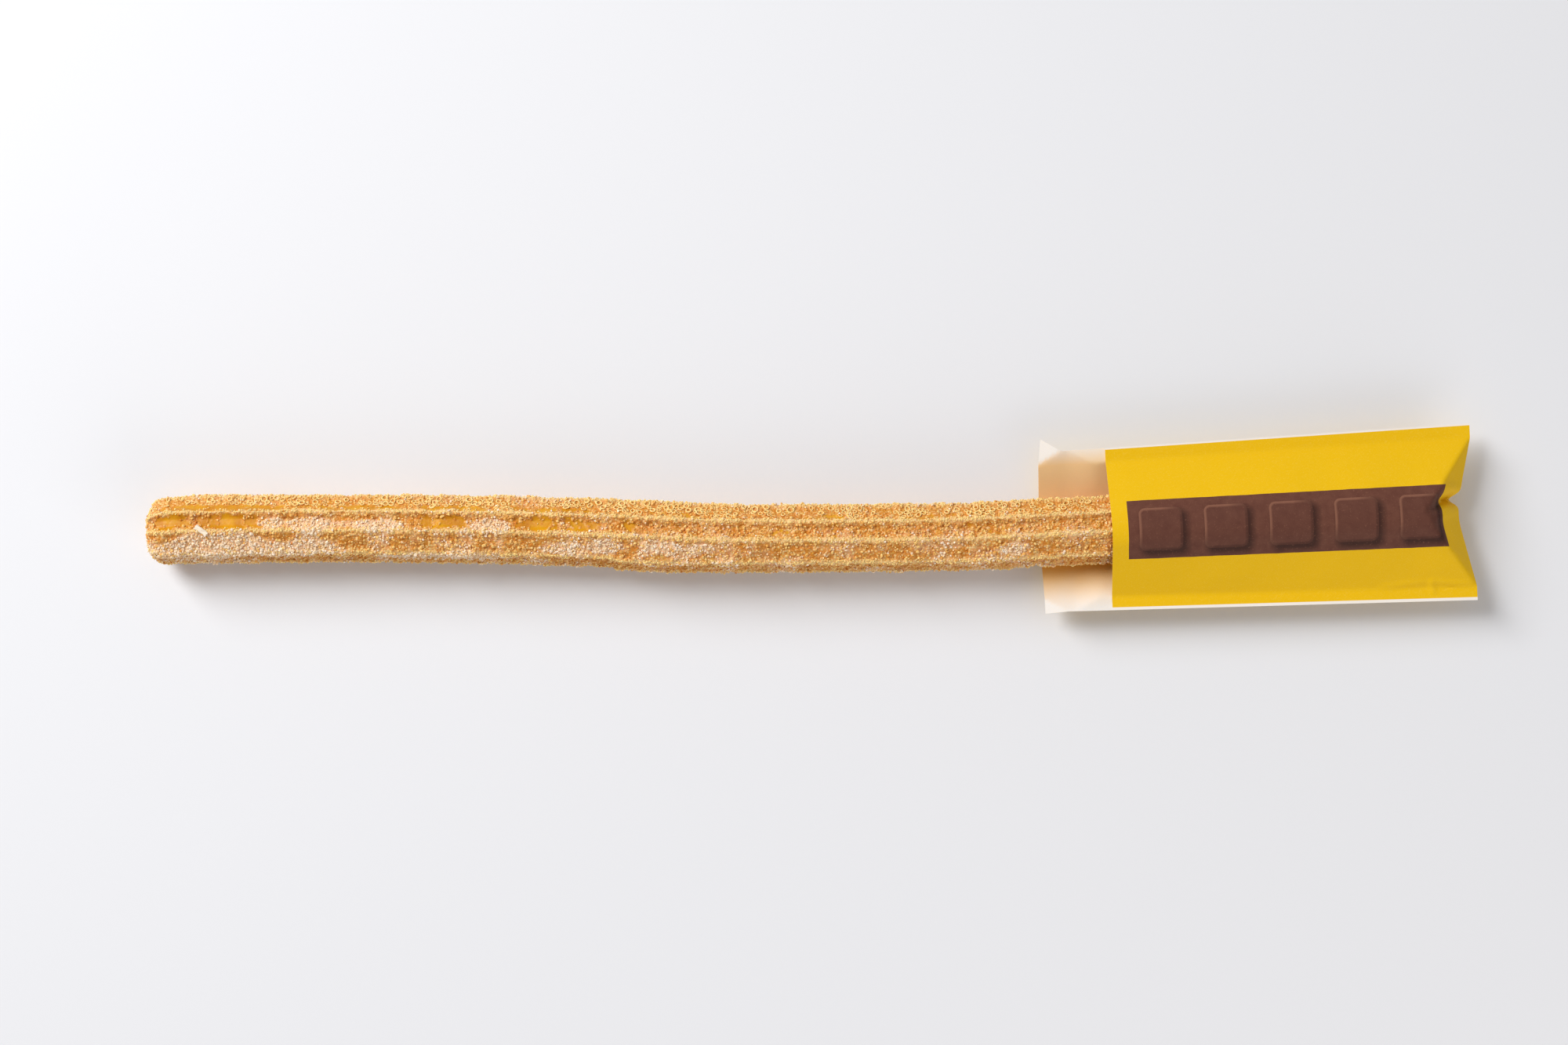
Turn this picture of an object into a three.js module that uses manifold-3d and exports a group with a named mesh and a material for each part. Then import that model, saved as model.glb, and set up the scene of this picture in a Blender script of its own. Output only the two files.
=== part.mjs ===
// A long ridged churro, coated in sugar, with its right-hand end tucked into a paper sleeve.
//
// Frame: +X runs along the churro towards the sleeve, +Z is up, and the origin is the middle of the
// object's footprint on the surface that it lies on. Units are millimetres.
//
// The churro is one solid of star section, swept along a slightly bowed axis, with blunt rounded ends.
// The sleeve is a flat paper bag, opened by the churro. Its front and back panels are glued along two
// side hems and across the closed end, so its section is a lens with the hems at half height. The back
// panel runs on past the front panel's mouth as an open trough.

import * as THREE from 'three';
import { mergeVertices } from 'three/addons/utils/BufferGeometryUtils.js';
import Module from 'manifold-3d';

// ---------------------------------------------------------------- driving dimensions

const churro = {
  radius: 11.2, // axis to the crest of a ridge
  grooveDepth: 2.0,
  ridgeSharpness: 6, // larger is a thinner ridge between wider grooves
  ridgeAngles: [ - 78, - 31, 3, 47, 92, 137, 182, 232 ], // degrees from straight up, towards -Y
  groovePoints: [ 0, 0.12, 0.3, 0.5, 0.7, 0.88 ], // where the outline has its points, from crest to crest
  restFlat: 0.35, // height pressed flat where it lies
  endRounding: 12, // length of each rounded end
  endBluntness: 3, // 2 is an ellipse, larger is blunter
  stations: 40,
  stationsInEnd: 6,
  tipStation: 0.3, // how far from the very tip the first station lies, as a share of one step
  // the free axis in plan, from the bare end on
  freeAxis: [ [ - 220.3, - 2.8 ], [ - 128, - 2.6 ], [ - 66, - 4.1 ], [ - 30, - 5.6 ], [ 10, - 5.7 ] ],
  straightFrom: - 50, // where the axis becomes straight, along the sleeve's axis from its mouth
  seatedFrom: - 26, // where the churro comes to lie on the paper, along the same axis
};

const sleeve = {
  paper: 0.5, // wall of this solid; the real sheet is thinner
  tilt: THREE.MathUtils.degToRad( 2.4 ), // the sleeve's axis, turned from +X towards +Y
  mouth: new THREE.Vector2( 98.2, - 2.85 ), // middle of the front panel's mouth
  frontLength: 121, // mouth of the front panel to the closed end's corners
  backOverhang: 22.7, // how far the back panel runs on past that mouth
  hem: 4.6,
  mouthHalfWidth: 26,
  endHalfWidth: 29,
  cornerFlare: { left: 4.2, right: 1.4 }, // how far the back panel's free corners open out
  cornerLength: 9,
  endDip: 5.6, // how far the closed end is drawn in at its middle
  endDipPower: 1.5, // larger is a narrower dip
  endSlope: 1.05, // fall of each panel past the churro's end
  endSpace: 8.6, // from the churro's end to the middle of the closed end
  arcSteps: 4,
  bodyStations: [ 0, 0.3, 0.6, 0.84 ], // shares of the way from the mouth to the closed end
  endStations: { from: 0.86, count: 12 }, // even steps from that share up to the closed end
};

const gap = 0.3; // clearance between the churro and the paper that it lies on
const roundGap = 0.2; // further clearance of the paper's curve round the churro
const cutMargin = 1; // how far a cutting solid runs past what it cuts

// ---------------------------------------------------------------- worked out from them

const churroFoot = churro.radius - churro.restFlat; // axis to the flat that it rests on
const seatedAxisHeight = sleeve.paper + gap + churroFoot;
const hemHeight = sleeve.paper + gap / 2 + churro.radius;
const innerRadius = churro.radius + gap + roundGap;
const outerRadius = innerRadius + sleeve.paper;
const churroEnd = sleeve.frontLength - sleeve.endDip - sleeve.endSpace; // along the sleeve's axis

/** A point on the sleeve's axis, in plan, at a distance from the front panel's mouth. */
function onSleeveAxis( along ) {

  const direction = new THREE.Vector2( Math.cos( sleeve.tilt ), Math.sin( sleeve.tilt ) );
  return direction.multiplyScalar( along ).add( sleeve.mouth );

}

// ---------------------------------------------------------------- lofts

/** A closed solid through rings of points that run anticlockwise as seen from the loft's far end. */
function loft( rings ) {

  const count = rings[ 0 ].length;
  const last = rings.length - 1;
  const points = rings.flat();
  const at = ( ring, i ) => ring * count + i % count;
  const index = [];

  for ( let ring = 0; ring < last; ring ++ ) {

    for ( let i = 0; i < count; i ++ ) {

      index.push( at( ring, i ), at( ring, i + 1 ), at( ring + 1, i + 1 ) );
      index.push( at( ring, i ), at( ring + 1, i + 1 ), at( ring + 1, i ) );

    }

  }

  for ( const ring of [ 0, last ] ) {

    const sum = rings[ ring ].reduce( ( total, p ) => total.add( p ), new THREE.Vector3() );
    const centre = points.push( sum.divideScalar( count ) ) - 1;
    for ( let i = 0; i < count; i ++ ) {

      const edge = [ at( ring, i ), at( ring, i + 1 ) ];
      index.push( centre, ...( ring === last ? edge : edge.reverse() ) );

    }

  }

  return new THREE.BufferGeometry().setFromPoints( points ).setIndex( index );

}

// ---------------------------------------------------------------- churro

/** The axis: a gentle bow over the free length, then straight along the sleeve's axis. */
function churroAxis() {

  const { freeAxis, straightFrom, seatedFrom } = churro;
  const bow = freeAxis.map( ( [ x, y ] ) => new THREE.Vector2( x, y ) );
  const straight = [ straightFrom, seatedFrom, 0, churroEnd / 2, churroEnd ].map( onSleeveAxis );
  const start = bow[ 0 ].x;
  const seated = onSleeveAxis( seatedFrom ).x;
  return new THREE.CatmullRomCurve3( [ ...bow, ...straight ].map( ( p ) => {

    const lift = Math.min( 1, ( p.x - start ) / ( seated - start ) );
    return new THREE.Vector3( p.x, p.y, THREE.MathUtils.lerp( churroFoot, seatedAxisHeight, lift ) );

  } ) );

}

/** Outline of the star section as [sideways, up] pairs, with its foot pressed flat. */
function starSection() {

  const crests = churro.ridgeAngles;
  return crests.flatMap( ( from, i ) => {

    const to = crests[ i + 1 ] ?? crests[ 0 ] + 360;
    return churro.groovePoints.map( ( t ) => {

      const angle = THREE.MathUtils.degToRad( THREE.MathUtils.lerp( from, to, t ) );
      const crest = Math.abs( Math.cos( Math.PI * t ) ) ** churro.ridgeSharpness;
      const radius = churro.radius - churro.grooveDepth * ( 1 - crest );
      return [ - radius * Math.sin( angle ), Math.max( radius * Math.cos( angle ), - churroFoot ) ];

    } );

  } );

}

/** Distances along the churro, close together in its rounded ends. */
function churroStations( length ) {

  const { endRounding, stations, stationsInEnd, tipStation } = churro;
  const end = Array.from( { length: stationsInEnd }, ( _, i ) =>
    endRounding * ( ( i + tipStation ) / stationsInEnd ) ** 2 );
  const middle = Array.from( { length: stations + 1 }, ( _, i ) =>
    THREE.MathUtils.lerp( endRounding, length - endRounding, i / stations ) );
  return [ ...end, ...middle, ...end.map( ( distance ) => length - distance ).reverse() ];

}

/** Size of the section at a distance from the nearer end, 1 past the rounding. */
function endScale( distance ) {

  const inset = 1 - Math.min( distance / churro.endRounding, 1 );
  return ( 1 - inset ** churro.endBluntness ) ** ( 1 / churro.endBluntness );

}

function churroGeometry() {

  const axis = churroAxis();
  const length = axis.getLength();
  const section = starSection();
  return loft( churroStations( length ).map( ( distance ) => {

    const centre = axis.getPointAt( distance / length );
    const tangent = axis.getTangentAt( distance / length );
    const side = new THREE.Vector3( - tangent.y, tangent.x, 0 ).normalize();
    const scale = endScale( Math.min( distance, length - distance ) );
    return section.map( ( [ sideways, up ] ) => centre.clone()
      .addScaledVector( side, sideways * scale )
      .add( new THREE.Vector3( 0, 0, up * scale ) ) );

  } ) );

}

// ---------------------------------------------------------------- paper sleeve

/** Half the sleeve's width in plan, at a distance from the mouth, on its left or right side. */
function halfWidth( along, side ) {

  const { backOverhang, cornerFlare, cornerLength, endHalfWidth, frontLength, mouthHalfWidth } = sleeve;
  const inCorner = THREE.MathUtils.clamp( ( cornerLength - backOverhang - along ) / cornerLength, 0, 1 );
  const toEnd = THREE.MathUtils.clamp( along / frontLength, 0, 1 );
  return THREE.MathUtils.lerp( mouthHalfWidth, endHalfWidth, toEnd ) + cornerFlare[ side ] * inCorner;

}

/** How far the closed end lies from the mouth, at a distance sideways from the sleeve's axis. */
function closedEnd( sideways ) {

  const share = Math.min( 1, sideways / sleeve.mouthHalfWidth );
  return sleeve.frontLength - sleeve.endDip * ( 1 - share ) ** sleeve.endDipPower;

}

/** Half of a panel's section from its middle out: [sideways, rise] pairs of an arc round the churro. */
function panelArc( radius, crease ) {

  const sweep = Math.asin( radius / crease ); // where the straight fall to the crease leaves the arc
  return Array.from( { length: sleeve.arcSteps + 1 }, ( _, i ) => {

    const angle = sweep * i / sleeve.arcSteps;
    return [ radius * Math.sin( angle ), radius * Math.cos( angle ) ];

  } );

}

/**
 * A ring of the lens. station holds a share 0 to 1 of the way from the mouth to the closed end, or a
 * distance before the mouth. shape holds radius, foot (the most that the back panel falls below the hems),
 * hemEdge (whether the ring runs out over the hems), edge (its half thickness there), creaseInset (how far
 * it stays inside the crease) and endInset (how far it stops short of the closed end).
 */
function lensRing( station, shape ) {

  const place = ( side, sideways, rise, panel ) => {

    const end = closedEnd( sideways ) - shape.endInset;
    const x = station.before ? - station.before : station.share * end;
    const y = side === 'left' ? sideways : - sideways;
    const fall = ( end - x ) * sleeve.endSlope + shape.edge;
    const height = Math.min( rise, fall, panel === 'back' ? shape.foot : Infinity );
    return new THREE.Vector3( x, y, panel === 'back' ? hemHeight - height : hemHeight + height );

  };

  const along = station.before ? - station.before : station.share * sleeve.frontLength;
  const half = ( side, panel ) => {

    const width = halfWidth( along, side );
    const crease = width - sleeve.hem;
    const outline = [ ...panelArc( shape.radius, crease ), [ crease - shape.creaseInset, shape.edge ] ];
    if ( shape.hemEdge ) outline.push( [ width, shape.edge ] );
    return outline.map( ( [ sideways, rise ] ) => place( side, sideways, rise, panel ) );

  };

  const shared = shape.hemEdge ? 0 : 1; // with no thickness at the crease, both panels share its point
  return [
    ...half( 'left', 'front' ).reverse(),
    ...half( 'right', 'front' ).slice( 1 ),
    ...half( 'right', 'back' ).reverse().slice( shared ),
    ...half( 'left', 'back' ).slice( 1, shared ? - 1 : undefined ),
  ];

}

/** Stations from the back panel's free edge to the closed end, close together past the churro's end. */
function sleeveStations( overhang, corner ) {

  const { bodyStations, endStations: { from, count } } = sleeve;
  const open = [ overhang, corner ].map( ( before ) => ( { before } ) );
  const end = Array.from( { length: count }, ( _, i ) => THREE.MathUtils.lerp( from, 1, ( i + 1 ) / count ) );
  return [ ...open, ...[ ...bodyStations, ...end ].map( ( share ) => ( { share } ) ) ];

}

/** A solid that can be cut, from a closed geometry. */
function solidOf( wasm, geometry ) {

  const bare = geometry.clone();
  bare.deleteAttribute( 'normal' );
  bare.deleteAttribute( 'uv' );
  const merged = mergeVertices( bare );
  return new wasm.Manifold( new wasm.Mesh( {
    numProp: 3,
    vertProperties: merged.attributes.position.array,
    triVerts: Uint32Array.from( merged.index.array ),
  } ) );

}

/** The geometry of a cut solid. */
function geometryOf( solid ) {

  const { vertProperties, triVerts } = solid.getMesh();
  const geometry = new THREE.BufferGeometry();
  geometry.setAttribute( 'position', new THREE.BufferAttribute( vertProperties, 3 ) );
  return geometry.setIndex( new THREE.BufferAttribute( triVerts, 1 ) );

}

/** The bag's wall: the lens less its hollow, with the front panel cut off at its mouth. */
async function sleeveGeometry() {

  const wasm = await Module();
  wasm.setup();

  const { paper, backOverhang, cornerLength } = sleeve;
  const corner = backOverhang - cornerLength;
  const outside = {
    radius: outerRadius,
    foot: hemHeight,
    edge: paper,
    hemEdge: true,
    creaseInset: 0,
    endInset: 0,
  };
  const hollow = {
    radius: innerRadius,
    foot: hemHeight - paper,
    edge: 0,
    hemEdge: false,
    creaseInset: paper,
    endInset: 2 * paper,
  };
  const outer = sleeveStations( backOverhang, corner ).map( ( station ) => lensRing( station, outside ) );
  const inner = sleeveStations( backOverhang + cutMargin, corner )
    .slice( 0, - 1 ) // the hollow ends where the panels meet, short of the glued end
    .map( ( station ) => lensRing( station, hollow ) );

  const cutLength = backOverhang + 2 * cutMargin;
  const cutWidth = 4 * sleeve.endHalfWidth; // past both of the widest corners
  const cutHeight = 2 * outerRadius; // from the hems to well over the front panel
  const cut = new THREE.BoxGeometry( cutLength, cutWidth, cutHeight );
  cut.translate( - cutLength / 2, 0, hemHeight + cutHeight / 2 );

  const wall = solidOf( wasm, loft( outer ) )
    .subtract( solidOf( wasm, loft( inner ) ) )
    .subtract( solidOf( wasm, cut ) );
  return geometryOf( wall );

}

// ---------------------------------------------------------------- materials and assembly

const dough = new THREE.MeshStandardMaterial( { color: 0xdcab6e, roughness: 0.75, metalness: 0 } );
const printedPaper = new THREE.MeshStandardMaterial( { color: 0xecbe22, roughness: 0.6, metalness: 0 } );

const churroMesh = new THREE.Mesh( churroGeometry(), dough );
churroMesh.name = 'churro';

const sleeveMesh = new THREE.Mesh( await sleeveGeometry(), printedPaper );
sleeveMesh.name = 'sleeve';
sleeveMesh.position.set( sleeve.mouth.x, sleeve.mouth.y, 0 );
sleeveMesh.rotation.z = sleeve.tilt;

const sleevedChurro = new THREE.Group();
sleevedChurro.add( churroMesh, sleeveMesh );

export default sleevedChurro;
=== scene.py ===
"""A sugared churro in its paper sleeve, lying on a pale table under soft light."""

import math
from contextlib import contextmanager

import bmesh
import bpy
import numpy as np
from mathutils import Matrix, Vector, noise


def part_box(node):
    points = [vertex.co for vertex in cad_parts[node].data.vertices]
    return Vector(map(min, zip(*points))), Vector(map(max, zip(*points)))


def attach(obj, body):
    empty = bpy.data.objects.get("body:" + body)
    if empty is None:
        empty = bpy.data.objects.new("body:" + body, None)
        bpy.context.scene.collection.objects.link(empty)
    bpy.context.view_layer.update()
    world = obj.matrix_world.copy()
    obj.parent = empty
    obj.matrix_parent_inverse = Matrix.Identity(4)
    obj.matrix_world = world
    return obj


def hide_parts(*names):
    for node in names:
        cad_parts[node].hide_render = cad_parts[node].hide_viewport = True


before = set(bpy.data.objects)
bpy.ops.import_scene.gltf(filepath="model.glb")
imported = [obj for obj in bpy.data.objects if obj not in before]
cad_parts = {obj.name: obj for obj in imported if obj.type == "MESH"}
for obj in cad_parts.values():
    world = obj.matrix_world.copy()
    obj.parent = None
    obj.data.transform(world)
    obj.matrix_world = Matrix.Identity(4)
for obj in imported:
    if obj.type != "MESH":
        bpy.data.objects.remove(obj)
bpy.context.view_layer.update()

bl_info = {
    "name": "Sugared Churro",
    "version": (1, 0, 0),
    "blender": (4, 5, 0),
    "location": "View3D > Sidebar > Churro",
    "description": "Adds a sugared churro in a paper sleeve, with its table, light and camera",
    "category": "Add Mesh",
}

MM = 0.001
ROOT = "root"
CHURRO_LOW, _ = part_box("churro")


def srgb(red, green, blue):
    """A colour given from 0 to 255 as a screen shows it, as the linear colour that shaders use."""
    linear = []
    for part in (red, green, blue):
        share = part / 255
        linear.append(share / 12.92 if share < 0.04045 else ((share + 0.055) / 1.055) ** 2.4)
    return tuple(linear)


def length_value(name, description, default):
    """A size in metres that the panel shows."""
    return bpy.props.FloatProperty(
        name=name,
        description=description,
        default=default,
        min=0,
        precision=5,
        subtype="DISTANCE",
        unit="LENGTH",
    )


def power_value(name, description, default):
    """A light's power in watts that the panel shows."""
    return bpy.props.FloatProperty(name=name, description=description, default=default, unit="POWER")


def number_value(name, description, default):
    """A plain number that the panel shows."""
    return bpy.props.FloatProperty(name=name, description=description, default=default)


def colour_value(name, description, default):
    """A colour that the panel shows."""
    return bpy.props.FloatVectorProperty(
        name=name, description=description, default=default, size=3, min=0, max=1, subtype="COLOR"
    )


# ---------------------------------------------------------------------------
# Settings


class ChurroDoughSettings(bpy.types.PropertyGroup):
    """The fried dough"""

    radius: length_value("Radius", "From the axis to the top of a ridge", 11.2 * MM)
    groove: length_value("Groove depth", "From a ridge's top to the deepest floor", 2.0 * MM)
    rounding: length_value("End rounding", "How far in from an end the stick narrows", 11 * MM)
    lump: length_value("Lumps", "Height of the broad unevenness", 1.0 * MM)
    blister: length_value("Blisters", "Height of the fried crust's blisters", 1.2 * MM)
    grit: length_value("Grit", "Height of the finest roughness", 0.5 * MM)
    pale: colour_value("Ridge colour", "The pale tops of the ridges", srgb(255, 222, 156))
    cream: colour_value("Cream", "The palest of the crust's grains", srgb(255, 222, 158))
    gold: colour_value("Gold", "The crust's main colour", srgb(232, 174, 80))
    tan: colour_value("Tan", "The well fried crust", srgb(214, 144, 56))
    crevice: colour_value("Crevice", "The dough between the crust's grains", srgb(212, 130, 28))
    floor: colour_value("Groove floor", "The smooth dough where no crust covers it", srgb(222, 160, 12))
    deep: colour_value("Deep floor", "The deepest of the smooth dough", srgb(199, 128, 4))


class ChurroSugarSettings(bpy.types.PropertyGroup):
    """The sugar and the crumbs"""

    white: colour_value("Sugar white", "Thick sugar", srgb(255, 237, 217))
    frosted: colour_value("Frosted", "Sugar that takes on the crust's colour", srgb(250, 208, 146))
    crumb_light: colour_value("Pale crumb", "The palest crumbs", srgb(254, 216, 138))
    crumb_dark: colour_value("Dark crumb", "The darkest golden crumbs", srgb(226, 158, 58))
    ridge: colour_value("Ridge crumb", "The palest crumbs on the ridges", srgb(252, 221, 146))
    toast: colour_value("Toasted crumb", "The brownest crumbs", srgb(202, 122, 40))
    amount: number_value("Amount", "How much sugar and crumb there is, 1 being as sold", 1.0)


class ChurroSleeveSettings(bpy.types.PropertyGroup):
    """The paper sleeve"""

    paper: length_value("Paper", "Thickness of the paper", 0.18 * MM)
    width: length_value("Width", "Width of the sleeve laid flat", 58 * MM)
    depth: length_value("Depth", "From the mouth to the shut end, over the paper", 121 * MM)
    overhang: length_value("Overhang", "How far the back panel runs on past the mouth", 22.1 * MM)
    hem: length_value("Hem", "Width of the flat hem along each side", 4.6 * MM)
    yellow: colour_value("Yellow", "The printed field", srgb(239, 191, 19))
    brown: colour_value("Brown", "The printed bar", srgb(98, 60, 50))
    brown_light: colour_value("Light brown", "The lit edges of the printed pieces", srgb(150, 104, 84))
    white: colour_value("White", "The bare paper", srgb(244, 239, 233))
    # The colour of the painted warm bounce light and painted shadow that the churro casts on the paper's
    # inside.
    painted_bounce: colour_value("Painted_bounce", "The bare paper where oil has soaked in", srgb(251, 191, 86))


class ChurroStageSettings(bpy.types.PropertyGroup):
    """The table, the light and the camera"""

    height: length_value("Camera height", "Height of the camera above the table", 1.1)
    view: length_value("View width", "Width of table that the camera sees", 0.525)
    key: power_value("Key light", "Power of the soft box", 39.2)
    card: power_value("Card", "Light that a white card sends back", 4.0)
    fill: number_value("Fill", "Strength of the light from all round", 0.3)
    table: colour_value("Table", "Colour of the table", srgb(235, 238, 244))


# ---------------------------------------------------------------------------
# Modelling helpers


def deselect_all():
    """Leaves nothing selected, so that the next operator acts on its own piece only."""
    bpy.ops.object.select_all(action="DESELECT")


def pick(piece):
    """Makes a piece the only selected one, and the active one."""
    deselect_all()
    piece.select_set(True)
    bpy.context.view_layer.objects.active = piece


@contextmanager
def editing(piece, mode="VERT"):
    """Edit mode on one piece, with nothing in it selected."""
    pick(piece)
    bpy.ops.object.mode_set(mode="EDIT")
    bpy.ops.mesh.select_mode(type=mode)
    bpy.ops.mesh.select_all(action="DESELECT")
    yield
    bpy.ops.object.mode_set(mode="OBJECT")


def select_where(piece, test):
    """In edit mode, selects the vertices whose place passes the test."""
    mesh = bmesh.from_edit_mesh(piece.data)
    mesh.select_mode = {"VERT"}
    for vertex in mesh.verts:
        vertex.select_set(test(vertex.co))
    mesh.select_flush_mode()
    bmesh.update_edit_mesh(piece.data, loop_triangles=False, destructive=False)


def apply_modifier(piece, kind, **values):
    """Adds a modifier, sets it and applies it."""
    pick(piece)
    modifier = piece.modifiers.new(kind.title(), kind)
    for name, value in values.items():
        setattr(modifier, name, value)
    bpy.ops.object.modifier_apply(modifier=modifier.name)


def places(piece):
    """A mesh's vertices as rows of x, y and z."""
    rows = np.empty(len(piece.data.vertices) * 3, np.float32)
    piece.data.vertices.foreach_get("co", rows)
    return rows.reshape(-1, 3).astype(float)


def move_to(piece, rows):
    """Puts a mesh's vertices at these rows of x, y and z."""
    piece.data.vertices.foreach_set("co", np.ascontiguousarray(rows, np.float32).ravel())
    piece.data.update()


def write_attribute(piece, name, values):
    """Stores one number for each vertex, for materials and scatters to read."""
    attribute = piece.data.attributes.new(name, "FLOAT", "POINT")
    attribute.data.foreach_set("value", np.ascontiguousarray(values, np.float32))


def write_weights(piece, name, values, levels=12):
    """Stores values from 0 to 1 as a vertex group, in a few even levels, for modifiers to read."""
    group = piece.vertex_groups.new(name=name)
    steps = np.clip(np.rint(np.asarray(values) * levels), 0, levels).astype(int)
    for level in range(1, levels + 1):
        group.add(np.flatnonzero(steps == level).tolist(), level / levels, "REPLACE")


def smooth_step(low, high, values):
    """0 below low, 1 above high, and an even ease between."""
    share = np.clip((values - low) / (high - low), 0, 1)
    return share * share * (3 - 2 * share)


def wobble(rows, size, seed):
    """Smooth noise from about -1 to 1 at each place, with bumps of about this size."""
    shift = Vector((seed * 7.31, seed * 3.17, seed * 5.73))
    return np.array([noise.noise(Vector(row) / size + shift) for row in rows])


def settle(piece, slot, *nodes):
    """Hands a finished piece to the frame: it rides on the one body and may stand for CAD nodes."""
    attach(piece, ROOT)
    if nodes:
        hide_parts(*nodes)


# ---------------------------------------------------------------------------
# Node trees


class Sum:
    """One output of a node, on which Python's signs add Math nodes."""

    def __init__(self, tree, socket):
        self.tree = tree
        self.socket = socket

    def math(self, operation, *others, clamp=False):
        settings = {"operation": operation, "use_clamp": clamp}
        return self.tree.node("ShaderNodeMath", settings, dict(enumerate((self, *others))))

    def other(self, name):
        """Another output of the same node."""
        return Sum(self.tree, self.socket.node.outputs[name])

    def __add__(self, other):
        return self.math("ADD", other)

    __radd__ = __add__

    def __sub__(self, other):
        return self.math("SUBTRACT", other)

    def __rsub__(self, other):
        return (self * -1) + other

    def __mul__(self, other):
        return self.math("MULTIPLY", other)

    __rmul__ = __mul__

    def __truediv__(self, other):
        return self.math("DIVIDE", other)

    def __pow__(self, other):
        return self.math("POWER", other)

    def __abs__(self):
        return self.math("ABSOLUTE")

    def clamp(self):
        return self.math("ADD", 0, clamp=True)

    def step(self, edge, softness):
        """0 below the edge and 1 above it, over a strip this soft."""
        return ((self - edge) / softness).math("ADD", 0.5, clamp=True)


class Tree:
    """A node tree, of a material or of a scatter."""

    def __init__(self, nodes):
        self.nodes = nodes

    def node(self, kind, settings=None, sockets=None, output=0):
        """Adds a node: its settings first, then the values or links of its sockets."""
        new = self.nodes.nodes.new(kind)
        for name, value in (settings or {}).items():
            setattr(new, name, value)
        for name, value in (sockets or {}).items():
            if isinstance(value, Sum):
                self.nodes.links.new(value.socket, new.inputs[name])
            else:
                new.inputs[name].default_value = value
        return Sum(self, new.outputs[output]) if len(new.outputs) else new

    def mix(self, share, first, second, blend="MIX"):
        """A colour that goes from the first to the second as share goes from 0 to 1."""
        sockets = {0: share, 6: self.colour(first), 7: self.colour(second)}
        settings = {"data_type": "RGBA", "blend_type": blend, "clamp_factor": True}
        return self.node("ShaderNodeMix", settings, sockets, 2)

    def colour(self, value):
        """A link as it is, or three numbers with an alpha."""
        return value if isinstance(value, Sum) else (*value, 1)

    def attribute(self, name):
        return self.node("ShaderNodeAttribute", {"attribute_name": name}, {}, "Fac")

    def noise(self, place, size, detail=2, output="Fac"):
        """Noise with bumps of about this size in metres."""
        sockets = {"Vector": place, "Scale": 1 / size, "Detail": detail}
        return self.node("ShaderNodeTexNoise", {}, sockets, output)

    def cells(self, place, size, output="Distance"):
        """Cells of about this size in metres."""
        sockets = {"Vector": place, "Scale": 1 / size}
        return self.node("ShaderNodeTexVoronoi", {}, sockets, output)

    def bump(self, height, depth):
        """A normal for a height from 0 to 1 that stands for this depth in metres."""
        return self.node("ShaderNodeBump", {}, {"Height": height, "Distance": depth, "Strength": 1})

    def surface(self, sockets):
        """The shader itself, and the material's output."""
        shader = self.node("ShaderNodeBsdfPrincipled", {}, sockets)
        self.node("ShaderNodeOutputMaterial", {}, {"Surface": shader})


def new_material(name):
    """An empty node material and the tree to write it in."""
    material = bpy.data.materials.new(name)
    material.use_nodes = True
    material.node_tree.nodes.clear()
    return material, Tree(material.node_tree)


# ---------------------------------------------------------------------------
# The route of the churro and of the sleeve

SLEEVE_TILT = math.radians(2.75)
MOUTH = Vector((98.2 * MM, -2.85 * MM, 0))
FREE_AXIS = ((-219.4, -2.8), (-128, -2.6), (-66, -4.1), (-30, -5.6), (10, -5.7))
SEATED_FROM = -26 * MM
CLIMB_FROM = -45 * MM
FOOT = 10.85 * MM
SEATED_HEIGHT = 11.65 * MM
CHURRO_END = 106.8 * MM
HEM_HEIGHT = 11.85 * MM


def on_sleeve_axis(along):
    """A place on the sleeve's middle line, in plan."""
    return MOUTH + Vector((math.cos(SLEEVE_TILT), math.sin(SLEEVE_TILT), 0)) * along


def churro_route():
    """The churro's axis: free on the table at first, then seated on the sleeve's paper."""
    plan = [Vector((x * MM, y * MM, 0)) for x, y in FREE_AXIS]
    plan += [on_sleeve_axis(along) for along in (-50 * MM, SEATED_FROM, 0, CHURRO_END / 2, CHURRO_END)]
    start = plan[0].x
    seated = on_sleeve_axis(SEATED_FROM).x
    for point in plan:
        share = min(1, (point.x - start) / (seated - start))
        point.z = FOOT + (SEATED_HEIGHT - FOOT) * share
    return plan


def add_route():
    """The route as a curve, for the straight stick to be bent along."""
    curve = bpy.data.curves.new("route", "CURVE")
    curve.dimensions = "3D"
    curve.twist_mode = "Z_UP"
    curve.resolution_u = 32
    spline = curve.splines.new("BEZIER")
    points = churro_route()
    spline.bezier_points.add(len(points) - 1)
    for knot, point in zip(spline.bezier_points, points):
        knot.co = point
        knot.handle_left_type = "AUTO"
        knot.handle_right_type = "AUTO"
    route = bpy.data.objects.new("route", curve)
    bpy.context.scene.collection.objects.link(route)
    bpy.context.view_layer.update()
    return route, spline.calc_length()


# ---------------------------------------------------------------------------
# The dough

RIDGE_ANGLES = (-78, -31, 3, 47, 92, 137, 182, 232)  # degrees from straight up, towards -Y
GROOVE_SHARES = (0.8, 1, 0.5, 0.6, 0.8, 0.9, 0.8, 0.7)  # each groove's depth, as a share of the deepest
RIDGE_SHARPNESS = 6
STEPS_PER_RIDGE = 16
CREST_CROWDING = 0.05  # how much closer the steps lie near a ridge
END_BLUNTNESS = 4
END_SAMPLES = 600
SHOWN_END_STEPS = 30
HIDDEN_END_STEPS = 14
SAME_PLACE = 1e-6
FINE_STEP = 0.6 * MM
HIDDEN_STEP = 1.8 * MM
PAST_MOUTH = 12 * MM  # how far past the mouth the crust is as fine as outside
END_SLANT = 0.7 * MM
SLANT_FROM = 0.8 * MM
SLANT_REACH = 16 * MM
DUSTED_COLOUR = srgb(254, 213, 172)
SWELL = 1.0 * MM
SWELL_START = (152.5, 156)  # mm from the left end
SWELL_END = (165, 205)
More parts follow.
